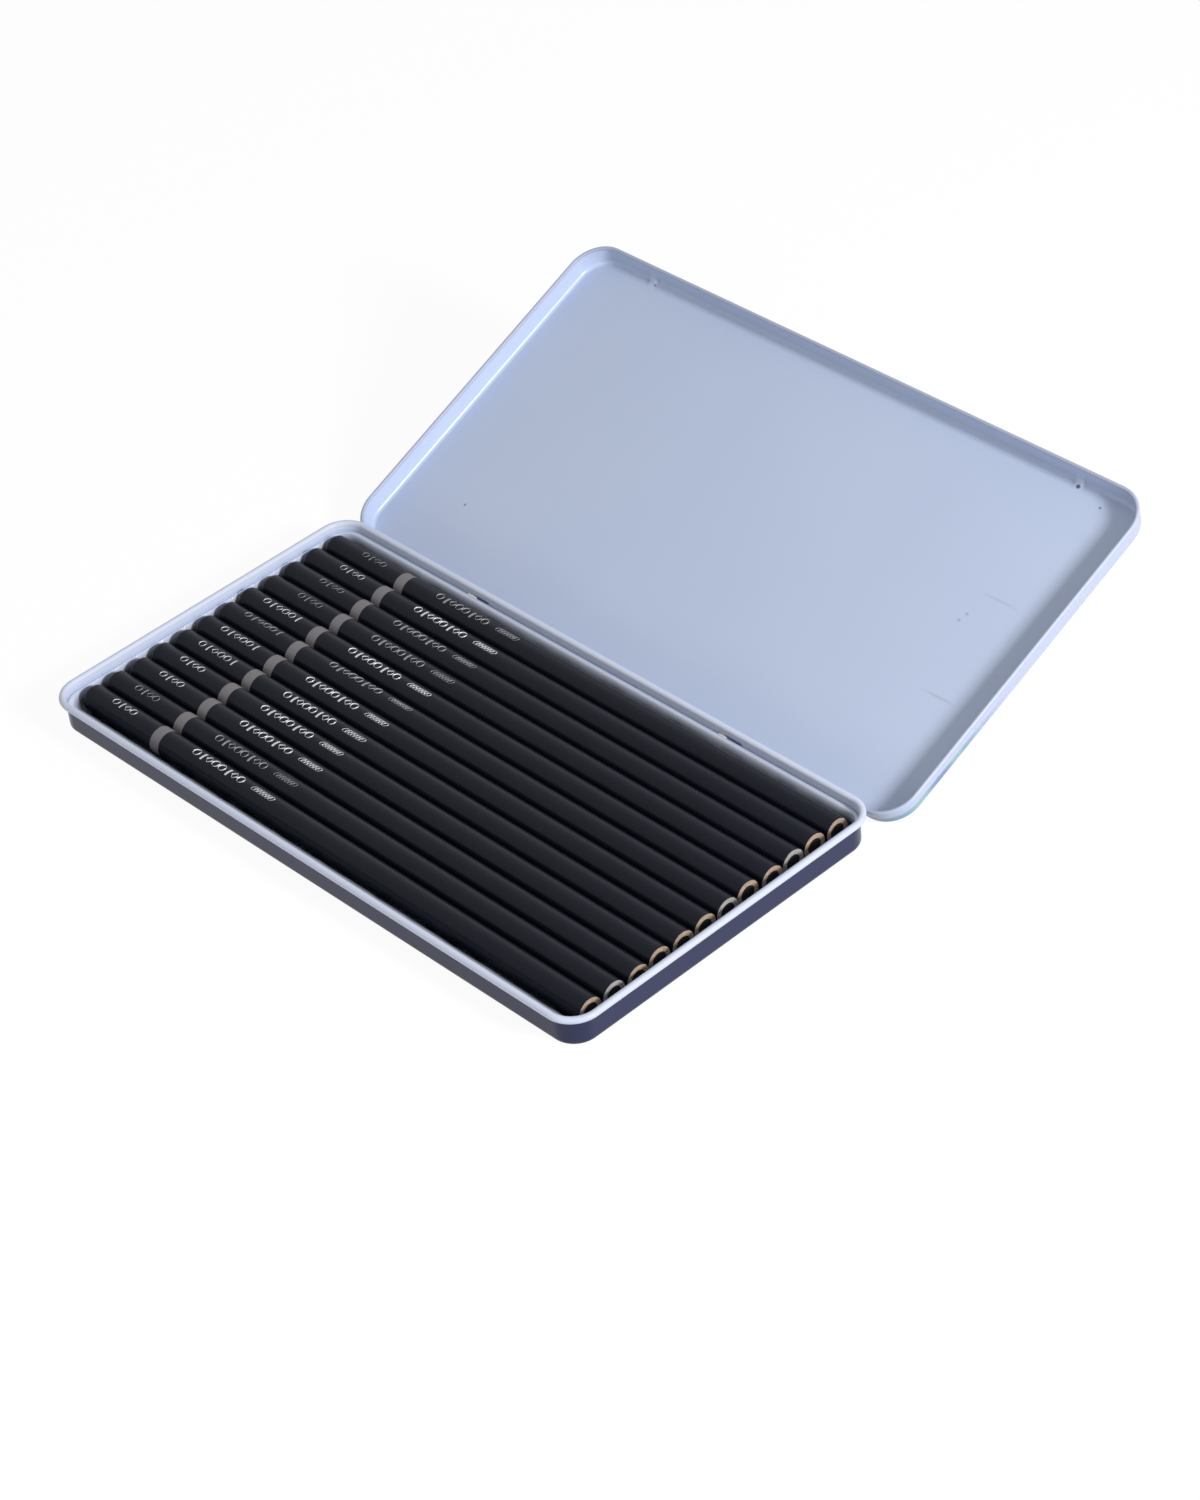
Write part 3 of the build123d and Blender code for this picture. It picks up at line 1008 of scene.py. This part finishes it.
class Turner(MeshTree):
    """Turns profiles round a pencil's axis with one node tree."""

    SIDES = 56
    BEND_DEG = 35.0
    MERGE_MM = 0.002

    def __init__(self) -> None:
        """Builds the tree: a grid whose rows take the profile's points and go round the axis."""
        floats = dict.fromkeys(("Slide", "Axis Y", "Axis Z", "Bend Angle"), "Float")
        kinds = {"Profile": "Geometry", "Sides": "Int", "Finish": "Material"}
        super().__init__("turned_piece", kinds | floats)
        node, start = self.node, self.start
        count = node("GeometryNodeAttributeDomainSize", [start["Profile"]])
        steps = node("ShaderNodeMath", [count, 1.0], operation="SUBTRACT")
        columns = node("ShaderNodeMath", [start["Sides"], 1.0])
        sizes = {"Size X": start["Sides"], "Size Y": steps}
        grid = node("GeometryNodeMeshGrid", sizes | {"Vertices X": columns, "Vertices Y": count})
        position = node("GeometryNodeInputPosition")
        spot = node("ShaderNodeSeparateXYZ", [position]).outputs
        row = node("ShaderNodeMath", [steps, 0.5, spot["Y"]], operation="MULTIPLY_ADD")
        index = node("ShaderNodeMath", [row], operation="ROUND")
        source = {"Geometry": start["Profile"], "Value": position, "Index": index}
        here = node("GeometryNodeSampleIndex", source, data_type="FLOAT_VECTOR")
        station = node("ShaderNodeSeparateXYZ", [here]).outputs
        share = node("ShaderNodeMath", [spot["X"], start["Sides"]], operation="DIVIDE")
        angle = node("ShaderNodeMath", [share, math.tau], operation="MULTIPLY")
        along = node("ShaderNodeMath", [station["X"], start["Slide"]])
        place = self.around(along, station["Y"], angle)
        turned = node("GeometryNodeSetPosition", {"Geometry": grid, "Position": place})
        merge = {"Geometry": turned, "Distance": self.MERGE_MM * MM}
        merged = node("GeometryNodeMergeByDistance", merge)
        faced = node("GeometryNodeFlipFaces", [merged])
        smooth = node("GeometryNodeSetShadeSmooth", {"Geometry": faced, "Shade Smooth": True})
        bend = node("GeometryNodeInputMeshEdgeAngle")
        sharp = node("FunctionNodeCompare", [bend, start["Bend Angle"]], operation="GREATER_THAN")
        crease = {"Geometry": smooth, "Selection": sharp, "Shade Smooth": False}
        self.close(node("GeometryNodeSetShadeSmooth", crease, domain="EDGE"))

    def build(self, name: str, profile: Section, axis: Point, finish: Finish) -> Piece:
        """Turns one profile.

        Args:
            name: The piece's name.
            profile: Pairs of x and radius; the last equals the first in a closed one.
            axis: How far the profile slides in x, and the axis's y and z.
            finish: Its finish.

        Returns:
            The new piece.
        """
        piece = add_mesh(name, [(x, radius, 0.0) for x, radius in profile], [])
        lengths = dict(zip(("Slide", "Axis Y", "Axis Z"), axis))
        others = {"Sides": self.SIDES, "Bend Angle": math.radians(self.BEND_DEG)}
        return self.run(piece, finish, lengths, others)


@dataclass(frozen=True)
class FoilRow:
    """One row of foil marks along a pencil.

    Args:
        count: How many marks.
        start: The first mark's x from the dipped end.
        pitch: From one mark to the next.
        width: A mark's stroke width.
        height: A mark's height round the pencil.
        slant: How far a mark leans along the pencil for each unit of its height.
        mixed: Whether diamonds and rings take turns with bars.
    """

    count: int
    start: float
    pitch: float = 2.2
    width: float = 0.4
    height: float = 2.2
    slant: float = 0.15
    mixed: bool = True


# The two rows that every pencil has, between its ring and its cut end
BOLD_ROW = FoilRow(8, 41.5, pitch=2.35, width=0.6, height=2.4, slant=0.1)
FINE_ROW = FoilRow(7, 63.1, pitch=1.0, width=0.25, height=1.8, slant=0.6, mixed=False)


class FoilStamp(MeshTree):
    """Lays foil marks on a pencil with one node tree.

    The radius of a diamond or ring is a share of the mark's height.
    """

    SHAPES = 4
    BAR_POINTS = 9
    DIAMOND, CIRCLE = 4, 16
    RADIUS_SHARE = 0.42
    MERGE_MM = 0.001

    def __init__(self) -> None:
        """Builds the tree: marks on a line, made real, thickened, then wrapped on the pencil."""
        floats = ("Pitch", "Stroke", "Height", "Slant", "Start", "Roll", "Radius", "Thickness")
        kinds = {"Count": "Int", "Shapes": "Int", "Finish": "Material"}
        super().__init__("foil_row", kinds | dict.fromkeys((*floats, "Axis Y", "Axis Z"), "Float"))
        node, start = self.node, self.start
        sizes = {"Size X": start["Stroke"], "Size Y": start["Height"]}
        points = {"Vertices X": 2, "Vertices Y": self.BAR_POINTS}
        bar = node("GeometryNodeMeshGrid", sizes | points)
        diamond, circle = (self.outline(corners) for corners in (self.DIAMOND, self.CIRCLE))
        shapes = node("GeometryNodeGeometryToInstance")
        for shape in (bar, diamond, circle, bar):
            self.tree.links.new(shape.outputs[0], shapes.inputs[0])
        index = node("GeometryNodeInputIndex")
        turn = node("ShaderNodeMath", [index, start["Shapes"]], operation="MODULO")
        source = {"Points": self.line("X"), "Instance": shapes, "Pick Instance": True}
        marks = node("GeometryNodeInstanceOnPoints", source | {"Instance Index": turn})
        flat = node("GeometryNodeRealizeInstances", [marks])
        lift = {"Mesh": flat, "Offset Scale": start["Thickness"], "Individual": False}
        both = node("GeometryNodeJoinGeometry")
        for part in (node("GeometryNodeExtrudeMesh", lift), node("GeometryNodeFlipFaces", [flat])):
            self.tree.links.new(part.outputs[0], both.inputs[0])
        merge = {"Geometry": both, "Distance": self.MERGE_MM * MM}
        solid = node("GeometryNodeMergeByDistance", merge)
        wrapped = {"Geometry": solid, "Position": self.wrap()}
        self.close(node("GeometryNodeSetPosition", wrapped))

    def outline(self, corners: int) -> Node:
        """Adds a flat outline with equal corners, as wide as the stroke.

        Args:
            corners: How many corners it has.

        Returns:
            The node that gives it.
        """
        node, start = self.node, self.start
        sides = [start["Height"], self.RADIUS_SHARE]
        radius = node("ShaderNodeMath", sides, operation="MULTIPLY")
        path = node("GeometryNodeCurvePrimitiveCircle", {"Resolution": corners, "Radius": radius})
        ends = {}
        for name, half in (("Start", 0.5), ("End", -0.5)):
            offset = node("ShaderNodeMath", [start["Stroke"], half], operation="MULTIPLY")
            ends[name] = node("ShaderNodeCombineXYZ", {"Y": offset})
        return node("GeometryNodeCurveToMesh", [path, node("GeometryNodeCurvePrimitiveLine", ends)])

    def wrap(self) -> Node:
        """Adds the nodes that wrap a flat point on the pencil.

        Returns:
            The node that gives the wrapped position.
        """
        node, start = self.node, self.start
        spot = node("ShaderNodeSeparateXYZ", [node("GeometryNodeInputPosition")]).outputs
        share = node("ShaderNodeMath", [spot["Y"], start["Radius"]], operation="DIVIDE")
        angle = node("ShaderNodeMath", [share, start["Roll"]])
        reach = node("ShaderNodeMath", [start["Radius"], spot["Z"]])
        lean = [spot["Y"], start["Slant"], spot["X"]]
        along = node("ShaderNodeMath", lean, operation="MULTIPLY_ADD")
        return self.around(along, reach, angle)

    def build(self, name: str, row: FoilRow, pencil: Pencil) -> Piece:
        """Makes one row as a plain mesh.

        Args:
            name: The piece's name.
            row: The row's sizes.
            pencil: The pencil that carries it.

        Returns:
            The new piece.
        """
        lengths = {
            "Pitch": row.pitch,
            "Stroke": row.width,
            "Height": row.height,
            "Start": pencil.tip_x + pencil.slide + row.start,
            "Radius": pencil.radius + pencil.print_lift / 2,
            "Axis Y": pencil.axis_y,
            "Axis Z": pencil.axis_z,
            "Thickness": pencil.print_lift,
        }
        others = {
            "Count": row.count,
            "Shapes": self.SHAPES if row.mixed else 1,
            "Slant": row.slant,
            "Roll": math.radians(pencil.roll_deg),
        }
        foil = RUBBED_FOIL if pencil.rubbed else SILVER_FOIL
        return self.run(add_mesh(name, [], []), foil, lengths, others)


class Grade(Enum):
    """Hardness grades, four pencils of each, with the foil row that tells them."""

    HARD = FoilRow(4, 10.4)
    MEDIUM = FoilRow(6, 8.8, pitch=2.4)
    SOFT = FoilRow(4, 13.2, width=0.28, height=2.1)


@dataclass
class Pencil:
    """One charcoal pencil.

    Args:
        number: Its place from the front, from 1.
        grade: Its hardness.
        axis_y: Its axis's y.
        slide: How far it has slid along the tray.
        roll_deg: How far its print is turned towards the hinge.
        rubbed: Whether its foil is rubbed thin.
        dusty: Whether charcoal powder greys its cut end.
    """

    number: int
    grade: Grade
    axis_y: float
    slide: float
    roll_deg: float
    rubbed: bool
    dusty: bool
    axis_z: float = 4.45
    tip_x: float = -90.0
    cut_x: float = 87.8
    radius: float = 3.55
    dip_depth: float = 1.1
    dip_power: float = 2.4
    dip_steps: int = 12
    dip_blend: float = 0.2
    cut_blends: tuple[float, float] = (0.3, 0.1)
    lacquer_back: float = 0.02
    lacquer_bevel: float = 0.07
    recess_radius: float = 3.41
    recess_depth: float = 0.25
    wood_inner: float = 2.14
    wood_outer: float = 3.4
    wood_crown: float = 2.8
    wood_rise: float = 0.01
    core_radius: float = 2.0945
    core_start: float = 3.0
    core_gap: float = 0.03
    core_bevel: float = 0.12
    core_hollow: float = 0.6
    ring_start: float = 26.7
    ring_width: float = 3.2
    ring_root: float = 0.1
    print_lift: float = 0.015

    def casing_profile(self) -> Section:
        """Draws the casing: a blunt dipped end, a recess for the bare wood, and the bore.

        Returns:
            Pairs of x and radius.
        """
        profile = []
        for n in range(self.dip_steps + 1):
            turn = n / self.dip_steps * math.pi / 2
            depth = self.dip_depth * (1 - math.cos(turn) ** (2 / self.dip_power))
            radius = self.radius * math.sin(turn) ** (1 / self.dip_power)
            profile.append((self.tip_x + depth, radius))
        profile.append((self.tip_x + self.dip_depth + self.dip_blend, self.radius))
        profile += [(self.cut_x - blend, self.radius) for blend in self.cut_blends]
        edge, recess = self.cut_x - self.lacquer_back, self.cut_x - self.recess_depth
        profile += [(edge, self.radius - self.lacquer_bevel), (edge, self.recess_radius)]
        bore, bottom = self.core_radius + self.core_gap, self.tip_x + self.core_start
        profile += [(recess, self.recess_radius), (recess, bore)]
        return profile + [(bottom, bore), (bottom, 0.0)]

    def ring_profile(self) -> Section:
        """Draws the printed ring, closed.

        Returns:
            Pairs of x and radius.
        """
        low = self.tip_x + self.ring_start
        high = low + self.ring_width
        root, skin = self.radius - self.ring_root, self.radius + self.print_lift
        return [(low, root), (low, skin), (high, skin), (high, root), (low, root)]

    def wood_profile(self) -> Section:
        """Draws the bare wood of the cut end, closed and slightly crowned.

        Returns:
            Pairs of x and radius.
        """
        back, face = self.cut_x - self.recess_depth + self.wood_rise, self.cut_x
        inner, outer = self.wood_inner, self.wood_outer
        front = [(face, outer), (face + self.wood_rise, self.wood_crown), (face, inner)]
        return [(back, inner), (back, outer), *front, (back, inner)]

    def core_profile(self) -> Section:
        """Draws the core, bevelled and hollowed a little at the cut end.

        Returns:
            Pairs of x and radius.
        """
        start = self.tip_x + self.core_start + self.core_gap
        bevel, low = self.core_bevel, self.cut_x - self.core_gap
        rod = [(start, 0.0), (start, self.core_radius), (self.cut_x - bevel, self.core_radius)]
        return rod + [(self.cut_x, self.core_radius - bevel), (low, self.core_hollow), (low, 0.0)]

    def build(self, turner: Turner, stamp: FoilStamp) -> None:
        """Builds the casing, ring, cut face, core and foil marks.

        Args:
            turner: The tree that turns them.
            stamp: The tree that lays the foil marks.
        """
        tag = f"{self.number:02d}"
        axis = (self.slide, self.axis_y, self.axis_z)
        wood = DUSTY_BASSWOOD if self.dusty else SAWN_BASSWOOD
        casing, ring, face, core = (
            turner.build(f"{name}_{tag}", profile, axis, finish)
            for name, profile, finish in (
                ("casing", self.casing_profile(), BLACK_LACQUER),
                ("ring", self.ring_profile(), RING_INK),
                ("cut_face", self.wood_profile(), wood),
                ("core", self.core_profile(), PRESSED_CHARCOAL),
            )
        )
        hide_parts(f"pencil_casing_{tag}")
        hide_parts(f"pencil_core_{tag}")
        rows = enumerate((self.grade.value, BOLD_ROW, FINE_ROW))
        foil = join([stamp.build(f"foil_{tag}_{n}", row, self) for n, row in rows])
        for piece in (casing, ring, face, core, foil):
            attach(piece, f"pencil_{tag}")
        LOG.info("pencil %s (%s): casing, ring, cut face, core, foil", tag, self.grade.name)


@dataclass
class PencilRow:
    """The row of twelve pencils: four of each grade, soft ones at the hinge."""

    first_y: float = -39.04
    pitch: float = 7.28
    slides: tuple[float, ...] = (0.7, 0.8, 1.1, 0.4, 0.7, 0.4, 0.4, -0.3, 0.4, 0.0, -0.2, 0.1)
    rolls: tuple[float, ...] = (0, -5, 0, 0, -4, 0, 8, 0, -3, 2, 0, 0)
    rubbed: tuple[int, ...] = (2, 7, 9, 10, 12)
    dusty: tuple[int, ...] = (2, 7, 10)

    def build(self) -> None:
        """Builds every pencil."""
        turner, stamp, grades = Turner(), FoilStamp(), tuple(Grade)
        for n, (slide, roll) in enumerate(zip(self.slides, self.rolls)):
            number = n + 1
            grade = grades[n * len(grades) // len(self.slides)]
            y = self.first_y + n * self.pitch
            rubbed, dusty = number in self.rubbed, number in self.dusty
            Pencil(number, grade, y, slide, roll, rubbed, dusty).build(turner, stamp)


@dataclass(frozen=True)
class Lamp:
    """A soft square lamp.

    Args:
        name: Its name.
        place: Its place in millimetres.
        size: Its side in millimetres.
        watts: Its power.
    """

    name: str
    place: Point
    size: float
    watts: float

    def build(self, aim: Point) -> None:
        """Places the lamp.

        Args:
            aim: The point that it faces, in millimetres.
        """
        data = bpy.data.lights.new(self.name, "AREA")
        data.size = self.size * MM
        data.energy = self.watts
        lamp = bpy.data.objects.new(self.name, data)
        lamp.location = Vector(self.place) * MM
        way = Vector(aim) * MM - lamp.location
        lamp.rotation_euler = way.to_track_quat("-Z", "Y").to_euler()
        bpy.context.scene.collection.objects.link(lamp)


@dataclass
class Studio:
    """The camera, floor, lamps and world.

    Args:
        azimuth: Where the camera stands, in degrees round the object.
        elevation: Its height above the horizon, in degrees.
        roll: Its roll, in degrees.
        distance: Its distance in millimetres.
        aim: The offset of its axis from the origin, right and up, in millimetres.
        focal_px: Its focal length in pixels of the photograph.
        frame_px: The photograph's longer side in pixels.
        ambient: The world's light.
        lamps: A key lamp on the right and a fill lamp in front.
        lamp_aim: The point that both lamps face, in millimetres.
        glow: How much of the floor's white comes from its own colour.
        white: The strength of that own colour.
        floor_half: Half the floor's side.
        floor_drop: How far the floor lies under the tin.
    """

    azimuth: float = 50.04
    elevation: float = 38.30
    roll: float = -6.54
    distance: float = 991.78
    aim: tuple[float, float] = (35.58, 2.97)
    focal_px: float = 4142.44
    frame_px: float = 1500.0
    ambient: float = 0.43
    lamps: tuple[Lamp, ...] = (
        Lamp("key_from_right", (744.0, 115.0, 428.0), size=150.0, watts=7.1),
        Lamp("fill_from_front", (150.0, -900.0, 60.0), size=500.0, watts=1.6),
    )
    lamp_aim: Point = (0.0, 60.0, 0.0)
    glow: float = 0.9
    white: float = 1.04
    floor_half: float = 3000.0
    floor_drop: float = 0.05

    def camera(self) -> None:
        """Places the camera at the photograph's viewing angle."""
        a, e, r = (math.radians(v) for v in (self.azimuth, self.elevation, self.roll))
        back = Vector((math.sin(a) * math.cos(e), -math.cos(a) * math.cos(e), math.sin(e)))
        right = Vector((math.cos(a), math.sin(a), 0))
        up = back.cross(right)
        rolled_right = right * math.cos(r) + up * math.sin(r)
        rolled_up = up * math.cos(r) - right * math.sin(r)
        data = bpy.data.cameras.new("camera")
        data.sensor_width = 36.0
        data.lens = self.focal_px / self.frame_px * data.sensor_width
        data.clip_start = 0.01
        data.clip_end = 20.0
        camera = bpy.data.objects.new("camera", data)
        bpy.context.scene.collection.objects.link(camera)
        place = (right * self.aim[0] + up * self.aim[1] + back * self.distance) * MM
        turned = Matrix((rolled_right, rolled_up, back)).transposed()
        camera.matrix_world = Matrix.Translation(place) @ turned.to_4x4()
        bpy.context.scene.camera = camera

    def floor(self) -> None:
        """Lays a plain white floor that shows white and keeps a faint shadow."""
        material = bpy.data.materials.new("white_paper_floor")
        material.use_nodes = True
        tree = material.node_tree
        node = partial(add_node, tree)
        shader = tree.nodes["Principled BSDF"]
        shader.inputs["Base Color"].default_value = linear("#e2e2e4")
        shader.inputs["Roughness"].default_value = 0.9
        shader.inputs["Specular IOR Level"].default_value = 0.1
        glow = node("ShaderNodeEmission", {"Strength": self.white})
        rays = node("ShaderNodeLightPath").outputs
        kinds = [rays["Is Camera Ray"], rays["Is Glossy Ray"]]
        seen = node("ShaderNodeMath", kinds, operation="MAXIMUM")
        share = node("ShaderNodeMath", [seen, self.glow], operation="MULTIPLY")
        mix = node("ShaderNodeMixShader", [share, shader, glow])
        tree.links.new(mix.outputs[0], tree.nodes["Material Output"].inputs[0])
        far, low = self.floor_half, -self.floor_drop
        corners = [(x * far, y * far, low) for x, y in ((-1, -1), (1, -1), (1, 1), (-1, 1))]
        floor = add_mesh("floor", corners, [[0, 1, 2, 3]])
        floor.data.materials.append(material)

    def world(self) -> None:
        """Makes a world that lights plainly and looks white to camera and mirror rays."""
        world = bpy.data.worlds.new("studio_world")
        world.use_nodes = True
        tree = world.node_tree
        rays = add_node(tree, "ShaderNodeLightPath").outputs
        seen = rays["Is Camera Ray"]
        for kind in ("Is Glossy Ray", "Is Transmission Ray"):
            seen = add_node(tree, "ShaderNodeMath", [seen, rays[kind]], operation="MAXIMUM")
        light = {"Value": seen, "To Min": self.ambient, "To Max": 1.0}
        strength = add_node(tree, "ShaderNodeMapRange", light)
        background = tree.nodes["Background"]
        background.inputs["Color"].default_value = (1, 1, 1, 1)
        tree.links.new(strength.outputs[0], background.inputs["Strength"])
        bpy.context.scene.world = world

    def build(self) -> None:
        """Builds the studio."""
        self.camera()
        self.floor()
        self.world()
        for lamp in self.lamps:
            lamp.build(self.lamp_aim)
        bpy.context.scene.view_settings.view_transform = "Standard"
        LOG.info("studio")


def main() -> None:
    """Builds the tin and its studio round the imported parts."""
    logging.basicConfig(level=logging.INFO)
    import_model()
    for assembly in (Studio(), TinBase(), TinLid(), FormedTray(), PencilRow()):
        assembly.build()


if __name__ == "__main__":
    main()
